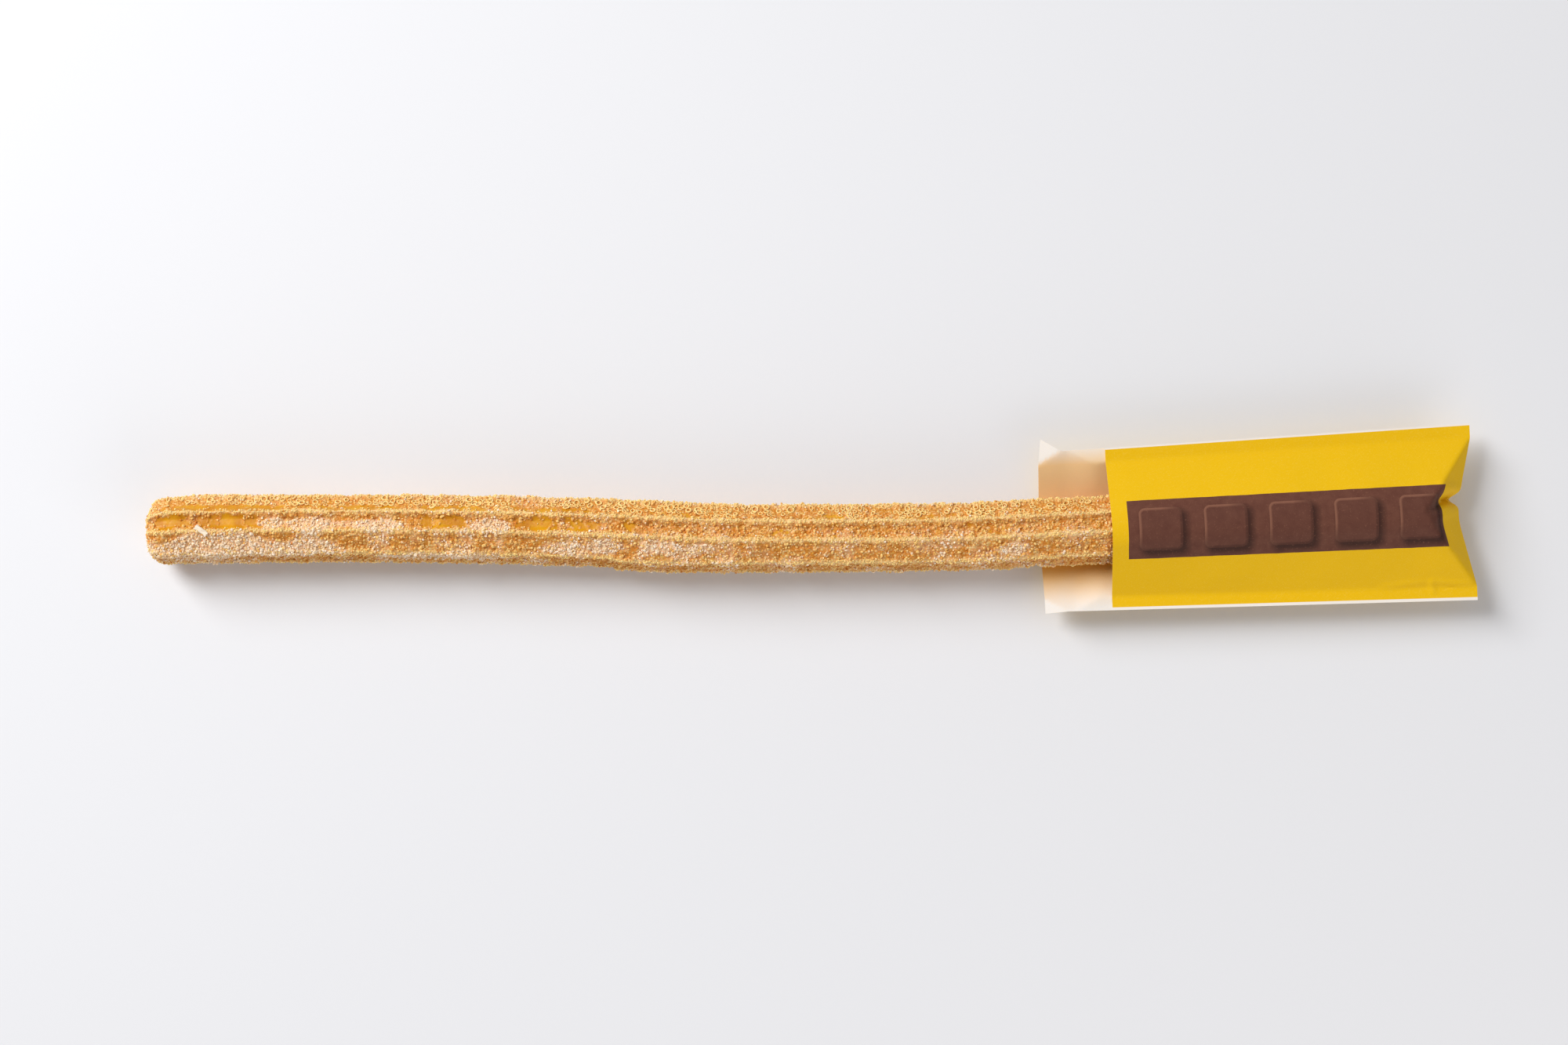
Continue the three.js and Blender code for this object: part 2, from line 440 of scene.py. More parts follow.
GRAINS_CLEAR = (1.2 * MM, 2.0 * MM)  # how far over the foot the grains begin, and lie in full

# Places where the groove's floor is bare: from, to, in mm from the left end, the groove's number,
# and how bare it is.
BARE_PLACES = (
    (3, 14, 1, 1),
    (18, 38, 1, 1),
    (86, 109, 1, 0.72),
    (122, 134, 1, 0.9),
    (133, 150, 1, 0.7),
    (155, 163, 1, 0.45),
    (206, 213, 1, 0.3),
    (224, 230, 1, 0.6),
    (262, 290, 1, 0.4),
    (6, 46, 0, 1),
    (52, 84, 0, 0.8),
    (90, 114, 0, 0.75),
    (118, 150, 0, 0.65),
    (164, 192, 0, 0.5),
    (210, 236, 0, 0.4),
    (246, 272, 0, 0.45),
    (30, 62, 6, 0.9),
    (120, 150, 7, 0.9),
    (200, 240, 6, 0.8),
    (60, 84, 4, 0.7),
    (150, 190, 5, 0.8),
)
# Where across a groove the bare floor lies, as shares of the way from ridge to ridge: its middle and
# half its width. The first groove is bare beside its second ridge only.
BARE_BANDS = ((0.76, 0.24), *((0.52, 0.42),) * 7)
BARE_MARGIN = 6  # how far past its ends a bare place's ragged edge may reach, in mm

# Places where sugar has caked: from, to, in mm from the left end, and between which angles round it.
FROST_PLACES = (
    (-6, 50, 2, 70),
    (34, 66, -24, 8),
    (54, 90, -20, 6),
    (107, 123, -22, 8),
    (44, 66, 16, 58),
    (72, 124, 42, 78),
    (128, 146, 18, 52),
    (144, 160, 8, 48),
    (162, 176, 8, 36),
    (178, 190, 6, 40),
    (278, 293, 14, 40),
)
# How thickly sugar lies round the stick, in tenths, at angles from straight up.
SUGAR_ROUND = (
    (-180, 5),
    (-95, 4),
    (-60, 1),
    (-31, 1),
    (-10, 3),
    (12, 5),
    (60, 6),
    (95, 5),
    (140, 5),
    (180, 5),
)


def crest_share(share):
    """1 on a ridge and 0 on a groove's floor, for a share of the way from one ridge to the next."""
    return np.abs(np.cos(np.pi * share)) ** RIDGE_SHARPNESS


def ring_outline():
    """Each place round the stick: its angle in degrees, and how deep in a groove it lies."""
    turns = []
    next_ridges = (*RIDGE_ANGLES[1:], RIDGE_ANGLES[0] + 360)
    for start, end, depth in zip(RIDGE_ANGLES, next_ridges, GROOVE_SHARES):
        for step in range(STEPS_PER_RIDGE):
            share = step / STEPS_PER_RIDGE
            share -= CREST_CROWDING * math.sin(2 * math.pi * share)
            angle = start + (end - start) * share
            turns.append(((angle + 180) % 360 - 180, depth * (1 - crest_share(share))))
    return sorted(turns)


def groove_and_share(angles):
    """For angles in degrees, the number of the groove and the share of the way across it."""
    turned = (angles - RIDGE_ANGLES[0]) % 360
    starts = np.array([angle - RIDGE_ANGLES[0] for angle in RIDGE_ANGLES] + [360])
    groove = np.clip(np.searchsorted(starts, turned, side="right") - 1, 0, len(RIDGE_ANGLES) - 1)
    share = (turned - starts[groove]) / (starts[groove + 1] - starts[groove])
    return groove, share


def end_rings(dough, steps):
    """Even steps over a rounded end, from the body out: how far in, and the share of the radius."""
    turn = np.linspace(math.pi / 2, 0, END_SAMPLES)
    inward = dough.rounding * (1 - np.cos(turn) ** (2 / END_BLUNTNESS))
    outward = np.sin(turn) ** (2 / END_BLUNTNESS)
    pieces = np.hypot(np.diff(inward), np.diff(outward) * dough.radius)
    run = np.concatenate(([0], np.cumsum(pieces)))
    even = np.linspace(0, run[-1], steps + 1)
    return list(zip(np.interp(even, run, inward), np.interp(even, run, outward)))


def shape_ring(stick, dough):
    """Moves each vertex of the round ring to its place on the ridged outline."""
    order = sorted(range(len(stick.data.vertices)), key=lambda i: angle_round(stick.data.vertices[i].co))
    with editing(stick):
        mesh = bmesh.from_edit_mesh(stick.data)
        mesh.verts.ensure_lookup_table()
        for index, (angle, depth) in zip(order, ring_outline()):
            vertex = mesh.verts[index]
            vertex.select_set(True)
            radius = dough.radius - dough.groove * depth
            turn = math.radians(angle)
            target = Vector((vertex.co.x, -radius * math.sin(turn), radius * math.cos(turn)))
            bpy.ops.transform.translate(value=target - vertex.co)
            vertex.select_set(False)


def angle_round(place):
    """The angle of a place round the X axis, from straight up towards -Y, in radians."""
    return math.atan2(-place.y, place.z)


def extrude_end(stick, dough, ring_x, outwards, steps):
    """Draws the open ring at ring_x out into a rounded end."""
    with editing(stick):
        select_where(stick, lambda place: abs(place.x - ring_x) < SAME_PLACE)
        inset, share = end_rings(dough, steps)[0]
        for next_inset, next_share in end_rings(dough, steps)[1:-1]:
            push = outwards * (inset - next_inset)
            bpy.ops.mesh.extrude_edges_move(TRANSFORM_OT_translate={"value": (push, 0, 0)})
            ring_x += push
            narrowing = next_share / share
            bpy.ops.transform.resize(value=(1, narrowing, narrowing), center_override=(ring_x, 0, 0))
            inset, share = next_inset, next_share
        bpy.ops.mesh.extrude_edges_move(TRANSFORM_OT_translate={"value": (outwards * inset, 0, 0)})
        bpy.ops.mesh.merge(type="CENTER")


def extrude_body(stick, ring_x, length, step):
    """Draws the open ring at ring_x along X in even steps, and returns where it ends."""
    steps = round(length / step)
    with editing(stick):
        select_where(stick, lambda place: abs(place.x - ring_x) < SAME_PLACE)
        bpy.ops.mesh.extrude_repeat(steps=steps, offset=(length / steps, 0, 0))
    return max(vertex.co.x for vertex in stick.data.vertices)


def add_straight_stick(dough, length):
    """The ridged stick, still straight, from x = 0 to its length, with both ends closed."""
    deselect_all()
    bpy.ops.mesh.primitive_circle_add(
        vertices=STEPS_PER_RIDGE * len(RIDGE_ANGLES),
        radius=dough.radius,
        location=(dough.rounding, 0, 0),
        rotation=(0, math.pi / 2, 0),
    )
    stick = bpy.context.object
    stick.name = "fried_dough"
    bpy.ops.object.transform_apply()
    shape_ring(stick, dough)
    extrude_end(stick, dough, dough.rounding, -1, SHOWN_END_STEPS)
    shown = length - CHURRO_END + PAST_MOUTH - dough.rounding
    body_end = extrude_body(stick, dough.rounding, shown, FINE_STEP)
    body_end = extrude_body(stick, body_end, length - dough.rounding - body_end, HIDDEN_STEP)
    extrude_end(stick, dough, body_end, 1, HIDDEN_END_STEPS)
    with editing(stick):
        bpy.ops.mesh.select_all(action="SELECT")
        bpy.ops.mesh.normals_make_consistent(inside=False)
    return stick


def bare_mask(rows, groove, share):
    """How bare of crust each place is: 1 on the bare floors and 0 elsewhere."""
    bare = np.zeros(len(rows))
    for start, end, number, fully in BARE_PLACES:
        from_start = rows[:, 0] > (start - BARE_MARGIN) * MM
        to_end = rows[:, 0] < (end + BARE_MARGIN) * MM
        near = np.flatnonzero((groove == number) & from_start & to_end)
        lengthwise = (rows[near, 0] / MM - (start + end) / 2) / ((end - start) / 2)
        middle, half_width = BARE_BANDS[number]
        crosswise = (share[near] - middle) / half_width
        ragged = 1.2 * wobble(rows[near], 2.8 * MM, number + start)
        ragged += 0.9 * wobble(rows[near], 1.0 * MM, start)
        depth = 1.25 - lengthwise**2 - crosswise**4 + ragged - 1.6 * (1 - fully)
        bare[near] = np.maximum(bare[near], smooth_step(0.15, 0.6, depth))
    return bare


def frost_mask(rows, angles, bare):
    """How thickly sugar lies at each place, from 0 to 1."""
    lies = np.interp(angles, *zip(*SUGAR_ROUND))
    broad = wobble(rows, 9 * MM, 3)
    thinning = 1.3 - 0.9 * rows[:, 0] / rows[:, 0].max()
    patches = smooth_step(-0.2, 0.7, broad + 0.6 * wobble(rows, 3 * MM, 8))
    frost = thinning * lies / 10 * patches
    for start, end, low, high in FROST_PLACES:
        lengthwise = (rows[:, 0] / MM - (start + end) / 2) / ((end - start) / 2)
        crosswise = (angles - (low + high) / 2) / ((high - low) / 2)
        frost = np.maximum(frost, smooth_step(0, 0.7, 1 - lengthwise**2 - crosswise**2 + broad))
    return (1 - bare) * frost


def mark_dough(stick):
    """Stores where the ridges, the bare floors, the crust and the thick sugar are."""
    rows = places(stick)
    angles = np.degrees(np.arctan2(-rows[:, 1], rows[:, 2]))
    groove, share = groove_and_share(angles)
    bare = bare_mask(rows, groove, share)
    frost = frost_mask(rows, angles, bare)
    mouth = rows[:, 0].max() - CHURRO_END
    shown = 1 - 0.7 * smooth_step(mouth + 2 * MM, mouth + 9 * MM, rows[:, 0])
    under = smooth_step(120, 150, np.abs(angles)) * 0.6
    crest = crest_share(share)
    ridge = smooth_step(0.7, 0.96, crest)
    beside_first_ridge = smooth_step(0.05, 0.2, share) * (1 - smooth_step(0.62, 0.8, share))
    bubbled = (groove == 0) * beside_first_ridge * (1 - bare)
    write_attribute(stick, "crest", crest)
    write_attribute(stick, "bare", bare)
    write_attribute(stick, "frost", frost)
    write_attribute(stick, "sugared", frost * shown * (1 - under))
    write_attribute(stick, "clumped", smooth_step(0.4, 0.9, frost) * shown * (1 - under))
    write_attribute(stick, "ridged", ridge * shown * (1 - under))
    caked = smooth_step(0.35, 0.8, frost)
    open_dough = (1 - 0.93 * bare) * (1 - 0.6 * ridge) * (1 - 0.5 * caked) * (1 - 0.75 * bubbled)
    write_attribute(stick, "crust", open_dough * shown * (1 - under))
    patchy = 0.5 + 0.5 * smooth_step(-0.4, 0.2, wobble(rows, 14 * MM, 5))
    write_attribute(stick, "bubbled", bubbled * shown * patchy)
    smooth = np.maximum(0.45 * np.maximum(ridge, caked), 0.5 * bubbled)
    write_weights(stick, "rough", 1 - np.maximum(0.92 * bare, smooth))


def displace(piece, kind, size, height, group="", **texture_values):
    """Raises and lowers a surface by a procedural texture."""
    texture = bpy.data.textures.new(f"{kind.lower()}_{size:.4f}", kind)
    texture.noise_scale = size
    for name, value in texture_values.items():
        setattr(texture, name, value)
    apply_modifier(
        piece,
        "DISPLACE",
        texture=texture,
        texture_coords="LOCAL",
        strength=height,
        mid_level=0.5,
        vertex_group=group,
    )


def roughen_dough(stick, dough):
    """The unevenness of piped and fried dough, from broad lumps down to grit."""
    displace(stick, "CLOUDS", 9 * MM, dough.lump)
    displace(stick, "CLOUDS", 2.6 * MM, dough.blister, "rough", noise_depth=1)
    displace(stick, "VORONOI", 1.7 * MM, dough.blister * 0.6, "rough")
    displace(stick, "CLOUDS", 0.9 * MM, dough.grit, "rough", noise_depth=1)


def dough_material(dough):
    """Grains of cream and gold over darker dough, pale ridges, and smooth yellow floors."""
    material, tree = new_material("sugared_dough")
    place = tree.node("ShaderNodeTexCoord", {}, {}, "Object")
    crest = tree.attribute("crest")
    bare = tree.attribute("bare")
    frost = tree.attribute("frost")
    broad = tree.noise(place, 7 * MM, 4)
    fine = tree.noise(place, 0.5 * MM, 3)
    cell = tree.cells(place, 0.85 * MM)
    tone = tree.node("ShaderNodeSeparateColor", {}, {"Color": cell.other("Color")})
    grain = tree.mix(broad.step(0.5, 0.3), dough.tan, dough.gold)
    grain = tree.mix(tone.step(0.62, 0.5) * 0.8, grain, dough.cream)
    grain = tree.mix(tone.other("Green").step(0.84, 0.1) * 0.7, grain, dough.crevice)
    grain = tree.mix(crest**3 * 0.8, grain, dough.pale)
    crust = tree.mix(cell.step(0.52, 0.35) * (0.9 - crest * 0.6), grain, dough.crevice)
    dusted = (frost * 1.2).clamp() * (0.65 + fine.step(0.5, 0.2) * 0.35)
    crust = tree.mix(dusted, crust, DUSTED_COLOUR)
    floor = tree.mix(broad.step(0.5, 0.3), dough.deep, dough.floor)
    relief = ((1 - cell * 1.3) + fine * 0.5) * (1 - bare * 0.9)
    tree.surface(
        {
            "Base Color": tree.mix(bare, crust, floor),
            "Roughness": 0.6 - tone.other("Blue") * 0.2,
            "Specular IOR Level": 0.35,
            "Normal": tree.bump(relief, 0.3 * MM),
            "Subsurface Weight": 0.3,
            "Subsurface Radius": (1, 0.45, 0.12),
            "Subsurface Scale": 1.2 * MM,
        }
    )
    return material


class CHURRO_OT_add_dough(bpy.types.Operator):
    """Add the ridged stick of fried dough"""

    bl_idname = "churro.add_dough"
    bl_label = "Dough"

    def execute(self, context):
        dough = context.scene.churro_dough
        route, length = add_route()
        stick = add_straight_stick(dough, length)
        mark_dough(stick)
        roughen_dough(stick, dough)
        with editing(stick):
            select_where(stick, lambda place: place.x < SLANT_FROM)
            bpy.ops.transform.translate(
                value=(0, -END_SLANT, 0), use_proportional_edit=True, proportional_size=SLANT_REACH
            )
        swell_low_edge(stick)
        apply_modifier(stick, "CURVE", object=route, deform_axis="POS_X")
        bpy.data.objects.remove(route)
        flatten_foot(stick)
        stick.data.materials.append(dough_material(dough))
        bpy.ops.object.shade_smooth()
        settle(stick, "sugared_dough", "churro")
        return {"FINISHED"}


def swell_low_edge(stick):
    """The stick thickens on its -Y side where the piping was caught up."""
    rows = places(stick)
    along = rows[:, 0] / MM
    swell = smooth_step(*SWELL_START, along) * (1 - smooth_step(*SWELL_END, along))
    rows[:, 1] -= swell * smooth_step(2 * MM, 8 * MM, -rows[:, 1]) * SWELL
    move_to(stick, rows)


def flatten_foot(stick):
    """Presses the underside flat on the table or on the paper, and keeps grains off just over it."""
    rows = places(stick)
    lift = SEATED_HEIGHT - FOOT
    climb = smooth_step(on_sleeve_axis(CLIMB_FROM).x, on_sleeve_axis(SEATED_FROM).x, rows[:, 0])
    foot = climb * lift + CHURRO_LOW.z
    clear = smooth_step(*GRAINS_CLEAR, rows[:, 2] - foot)
    rows[:, 2] = np.maximum(rows[:, 2], foot)
    move_to(stick, rows)
    for name in ("crust", "ridged", "sugared", "clumped"):
        values = np.empty(len(rows), np.float32)
        attribute = stick.data.attributes[name]
        attribute.data.foreach_get("value", values)
        attribute.data.foreach_set("value", np.ascontiguousarray(values * clear, np.float32))


# ---------------------------------------------------------------------------
# Sugar and crumbs

SPIN = 6.283
STRETCH_LEAST = (0.7, 0.7, 0.6)
STRETCH_GREATEST = (1.15, 1.15, 1.1)


def add_crumb_shape():
    """An uneven nugget, 1 m across."""
    bpy.ops.mesh.primitive_ico_sphere_add(subdivisions=1, radius=0.5)
    shape = bpy.context.object
    with editing(shape):
        bpy.ops.mesh.select_all(action="SELECT")
        bpy.ops.transform.vertex_random(offset=0.16, seed=4)
    return shape


def add_crystal_shape():
    """A block crystal with one stepped face, 1 m across."""
    bpy.ops.mesh.primitive_cube_add(size=0.8)
    shape = bpy.context.object
    with editing(shape, "FACE"):
        mesh = bmesh.from_edit_mesh(shape.data)
        for face in mesh.faces:
            face.select_set(face.normal.z > 0.9)
        bmesh.update_edit_mesh(shape.data)
        bpy.ops.mesh.extrude_region_move(TRANSFORM_OT_translate={"value": (0, 0, 0.16)})
        bpy.ops.transform.resize(value=(0.6, 0.7, 1))
    with editing(shape):
        bpy.ops.mesh.select_all(action="SELECT")
        bpy.ops.transform.vertex_random(offset=0.07, seed=9)
    return shape


def add_fine_shape():
    """A small uneven block, 1 m across."""
    bpy.ops.mesh.primitive_cube_add(size=0.8)
    shape = bpy.context.object
    with editing(shape):
        bpy.ops.mesh.select_all(action="SELECT")
        bpy.ops.transform.vertex_random(offset=0.12, seed=2)
    return shape


def add_clump_shape():
    """Three blocks grown together, about 1 m across."""
    bpy.ops.mesh.primitive_cube_add(size=0.62)
    shape = bpy.context.object
    for turn, shift in ((0.7, (0.3, 0.12, 0.1)), (1.9, (-0.22, 0.24, -0.08))):
        with editing(shape):
            bpy.ops.mesh.primitive_cube_add(size=0.52, location=shift, rotation=(turn, turn / 2, turn))
    with editing(shape):
        bpy.ops.mesh.select_all(action="SELECT")
        bpy.ops.transform.vertex_random(offset=0.06, seed=6)
    return shape


def add_ring_shape():
    """A burst bubble's rim, 1 m across."""
    bpy.ops.mesh.primitive_torus_add(
        major_segments=12, minor_segments=5, major_radius=0.38, minor_radius=0.1, generate_uvs=False
    )
    shape = bpy.context.object
    with editing(shape):
        bpy.ops.mesh.select_all(action="SELECT")
        bpy.ops.transform.vertex_random(offset=0.05, seed=5)
    return shape


# Each kind: its shape, where it lies, how many lie on a square metre there at most, its least and
# greatest size, how much of its size stands out, whether it lies flat, and its seed.
SCATTERS = {
    "golden_crumbs": (add_crumb_shape, "crust", 0.3e6, 0.6 * MM, 1.35 * MM, 0.1, False, 11),
    "toasted_crumbs": (add_crumb_shape, "crust", 0.12e6, 0.5 * MM, 1.0 * MM, 0.12, False, 23),
    "ridge_crumbs": (add_crumb_shape, "ridged", 1.3e6, 0.45 * MM, 0.9 * MM, 0.15, False, 17),
    "fine_sugar": (add_fine_shape, "crust", 0.22e6, 0.3 * MM, 0.65 * MM, 0.25, False, 37),
    "sugar_crystals": (add_crystal_shape, "sugared", 1.5e6, 0.35 * MM, 0.85 * MM, 0.3, False, 41),
    "sugar_clumps": (add_clump_shape, "clumped", 0.55e6, 0.6 * MM, 1.3 * MM, 0.15, False, 53),
    "burst_bubbles": (add_ring_shape, "bubbled", 0.9e6, 1.5 * MM, 2.6 * MM, 0.1, True, 61),
}


def scatter_tree(name, host, shape, material, amount):
    """Geometry nodes that scatter a shape over the dough as real mesh."""
    _, where, density, least, greatest, proud, flat, seed = SCATTERS[name]
    nodes = bpy.data.node_groups.new(name, "GeometryNodeTree")
    nodes.interface.new_socket("Geometry", in_out="OUTPUT", socket_type="NodeSocketGeometry")
    tree = Tree(nodes)
    as_made = {"transform_space": "ORIGINAL"}
    surface = tree.node("GeometryNodeObjectInfo", as_made, {"Object": host}, "Geometry")
    grain = tree.node("GeometryNodeObjectInfo", as_made, {"Object": shape}, "Geometry")
    weight = tree.node("GeometryNodeInputNamedAttribute", {"data_type": "FLOAT"}, {"Name": where})
    if flat:
        method = "POISSON"
        spread = {"Distance Min": least, "Density Max": density * amount, "Density Factor": weight}
    else:
        method = "RANDOM"
        spread = {"Density": weight * (density * amount)}
    sockets = {"Mesh": surface, "Seed": seed, **spread}
    points = tree.node("GeometryNodeDistributePointsOnFaces", {"distribute_method": method}, sockets)
    size = random_value(tree, "FLOAT", least, greatest, seed + 1)
    stretch = random_value(tree, "FLOAT_VECTOR", STRETCH_LEAST, STRETCH_GREATEST, seed + 2)
    most_spin = (0, 0, SPIN) if flat else (SPIN, SPIN, SPIN)
    spin = random_value(tree, "FLOAT_VECTOR", (0, 0, 0), most_spin, seed + 3)
    spin = tree.node("FunctionNodeEulerToRotation", {}, {"Euler": spin})
    sockets = {0: points.other("Rotation"), 1: spin}
    turned = tree.node("FunctionNodeRotateRotation", {"rotation_space": "LOCAL"}, sockets)
    sockets = {0: points.other("Normal"), "Scale": size * proud}
    lift = tree.node("ShaderNodeVectorMath", {"operation": "SCALE"}, sockets)
    raised = tree.node("GeometryNodeSetPosition", {}, {"Geometry": points, "Offset": lift})
    sockets = {0: stretch, "Scale": size}
    full_size = tree.node("ShaderNodeVectorMath", {"operation": "SCALE"}, sockets)
    sockets = {"Points": raised, "Instance": grain, "Rotation": turned, "Scale": full_size}
    grains = tree.node("GeometryNodeInstanceOnPoints", {}, sockets)
    tone = random_value(tree, "FLOAT", 0.0, 1.0, seed + 4)
    settings = {"data_type": "FLOAT", "domain": "INSTANCE"}
    sockets = {"Geometry": grains, "Name": "tone", "Value": tone}
    toned = tree.node("GeometryNodeStoreNamedAttribute", settings, sockets)
    real = tree.node("GeometryNodeRealizeInstances", {}, {"Geometry": toned})
    painted = tree.node("GeometryNodeSetMaterial", {}, {"Geometry": real, "Material": material})
    tree.node("NodeGroupOutput", {}, {"Geometry": painted})
    return nodes


def random_value(tree, kind, low, high, seed):
    """A random number or vector for each point."""
    first = {"FLOAT_VECTOR": 0, "FLOAT": 2}[kind]
    output = {"FLOAT_VECTOR": 0, "FLOAT": 1}[kind]
    sockets = {first: low, first + 1: high, "Seed": seed}
    return tree.node("FunctionNodeRandomValue", {"data_type": kind}, sockets, output)


def grain_material(name, dark, light, roughness):
    """A grain's material: each grain has its own tone between two colours."""
    material, tree = new_material(name)
    place = tree.node("ShaderNodeTexCoord", {}, {}, "Object")
    tone = tree.attribute("tone")
    cloud = tree.noise(place, 0.5 * MM, 2)
    colour = tree.mix((tone * 0.8 + cloud * 0.4).clamp(), dark, light)
    tree.surface(
        {
            "Base Color": colour,
            "Roughness": roughness + cloud * 0.15,
            "Normal": tree.bump(tree.noise(place, 0.15 * MM, 1), 0.04 * MM),
            "Subsurface Weight": 0.3,
            "Subsurface Radius": (1, 0.9, 0.8),
            "Subsurface Scale": 0.15 * MM,
        }
    )
    return material


def grain_materials(sugar):
    """The material of each kind of grain."""
    return {
        "golden_crumbs": grain_material("golden_crumb", sugar.crumb_dark, sugar.crumb_light, 0.35),
        "toasted_crumbs": grain_material("toasted_crumb", sugar.toast, sugar.crumb_dark, 0.5),
        "ridge_crumbs": grain_material("ridge_crumb", sugar.crumb_light, sugar.ridge, 0.35),
        "fine_sugar": grain_material("fine_sugar", sugar.frosted, sugar.ridge, 0.2),
        "sugar_crystals": grain_material("sugar_crystal", sugar.frosted, sugar.white, 0.15),
        "sugar_clumps": grain_material("sugar_clump", sugar.frosted, sugar.white, 0.3),
        "burst_bubbles": grain_material("bubble_rim", sugar.crumb_light, sugar.ridge, 0.3),
    }


SHARD_PLACE = (-200.6 * MM, -3.2 * MM, 22.2 * MM)
SHARD_TURN = math.radians(-37)
SHARD_LEAN = (0.25, 0.1)
SHARD_SIZE = (4.5 * MM, 1.5 * MM, 1.1 * MM)
SHARD_ROUGHNESS = 0.3 * MM


def add_shard(material):
    """A long splinter of caked sugar stuck on a ridge."""
    deselect_all()
    bpy.ops.mesh.primitive_cube_add(size=1, location=SHARD_PLACE, rotation=(*SHARD_LEAN, SHARD_TURN))
    shard = bpy.context.object
    shard.name = "sugar_shard"
    shard.scale = SHARD_SIZE
    bpy.ops.object.transform_apply()
    with editing(shard):
        bpy.ops.mesh.select_all(action="SELECT")
        bpy.ops.mesh.subdivide(number_cuts=3)
        bpy.ops.transform.vertex_random(offset=SHARD_ROUGHNESS, seed=8)
    write_attribute(shard, "tone", np.ones(len(shard.data.vertices)))
    shard.data.materials.append(material)
    settle(shard, "sugared_dough")


MOST_TRIANGLES = 200_000


class CHURRO_OT_add_sugar(bpy.types.Operator):
    """Scatter the sugar, the crumbs and the burst bubbles over the dough"""

    bl_idname = "churro.add_sugar"
    bl_label = "Sugar and Crumbs"

    def execute(self, context):
        sugar = context.scene.churro_sugar
        host = bpy.data.objects["fried_dough"]
        materials = grain_materials(sugar)
        for name, (add_shape, *_) in SCATTERS.items():
            deselect_all()
            shape = add_shape()
            deselect_all()
            bpy.ops.mesh.primitive_plane_add()
            grains = bpy.context.object
            grains.name = name
            nodes = scatter_tree(name, host, shape, materials[name], sugar.amount)
            apply_modifier(grains, "NODES", node_group=nodes)
            bpy.data.objects.remove(shape)
            grains.data.calc_loop_triangles()
            triangles = len(grains.data.loop_triangles)
            if triangles >= MOST_TRIANGLES:
                raise RuntimeError(f"{name} has {triangles} triangles, which is too many")
            settle(grains, "sugared_dough")
        add_shard(materials["sugar_clumps"])
        return {"FINISHED"}


# ---------------------------------------------------------------------------
# The paper sleeve

PAPER_STEP = 0.8 * MM
FRONT_RISE = 12.0 * MM
BACK_DROP = 11.6 * MM
MOUTH_HALF_WIDTH = 26.9 * MM
END_HALF_WIDTH = 29.3 * MM
END_CLIMB = 0.72  # how far the paper climbs for each length of it from the shut end
HIP_SOFTNESS = 0.45 * MM
HEM_GAP = 0.02 * MM


def lens_section(across, half_width, rise, hem):
    """Plan offset and height over the hem of a panel, at shares from -1 to 1 over its paper."""
    crease = half_width - hem
    sweep = np.arcsin(rise / crease)
    arc = rise * sweep
    straight = np.sqrt(crease**2 - rise**2)
    run = np.abs(across) * (arc + straight + hem)
    on_arc = np.minimum(run, arc) / rise
    on_straight = np.clip(run - arc, 0, straight)
    on_hem = np.maximum(run - arc - straight, 0)
    offset = rise * np.sin(on_arc) + on_straight * np.cos(sweep) + on_hem
    height = rise * np.cos(on_arc) - on_straight * np.sin(sweep)
    return np.sign(across) * offset, np.maximum(height, 0)


def folded(along, across, rise, sleeve):
    """Where a panel's paper lies, in the sleeve's own frame, with its hems at height 0."""
    depth_share = np.clip(along / sleeve.depth, -0.2, 1)
    half_width = MOUTH_HALF_WIDTH + (END_HALF_WIDTH - MOUTH_HALF_WIDTH) * depth_share
    hem = sleeve.hem * smooth_step(-14 * MM, -2 * MM, along)
    offset, height = lens_section(across, half_width, rise, hem)
    past_hip = along - (sleeve.depth - height / END_CLIMB)
    on_slope = (past_hip + np.sqrt(past_hip**2 + HIP_SOFTNESS**2)) / 2
    forward = along - on_slope * (1 - math.sqrt(1 - END_CLIMB**2))
    low = np.maximum(height - on_slope * END_CLIMB, 0) + sleeve.paper + HEM_GAP
    return np.column_stack((forward, offset, low))


# Each corner of the back panel that lies open: its side, how far in its crease starts along the free
# edge and along the side, and how far its tip is pulled out, in mm.
OPEN_CORNERS = ((1, 4.4, 7.4, (1.0, 4.4, -1.0)), (-1, 4.4, 7.4, (0, -0.6, -1.1)))
# Small creases of the front panel: from and to, along and across it, and their height and width, in mm.
CREASES = (
    (105.0, -22.4, 119.5, -24.2, 0.5, 0.9),
    (105.0, -21.6, 107.0, -26.5, 0.45, 0.9),
    (88.0, -23.8, 105.0, -22.4, 0.35, 0.9),
    (100.0, -8.0, 119.0, -15.0, 0.35, 0.9),
    (103.0, 1.0, 119.0, 5.0, -2.2, 1.4),
    (108.0, 9.5, 118.0, 8.0, 0.6, 1.1),
    (106.0, -2.0, 118.5, 0.5, 0.6, 1.2),
)
PUCKER = (3.3, 3.8)  # how far the shut end is pushed in, and how deep the fold is, in mm
PUCKER_OFFSET = 4.4
PUCKER_WIDTH = 1.7
PUCKER_LENGTH = 20 * MM
WAVE = 0.3 * MM
WAVE_SIZE = 16 * MM
WAVE_SEED = 21


def open_corner(shape, side, along_edge, along_side, pull):
    """Lays out a corner of the free edge past a slanting crease."""
    tip = shape[np.argmax(side * shape[:, 1] - shape[:, 0])].copy()
    first = tip[:2] - np.array((0, side * along_edge * MM))
    crease = np.array((along_side * MM, side * along_edge * MM))
    outward = np.array((-crease[1] * side, crease[0] * side)) / np.linalg.norm(crease)
    share = np.clip(((shape[:, :2] - first) @ outward) / ((tip[:2] - first) @ outward), 0, 1)
    shape += share[:, None] * np.array(pull) * MM
    return share


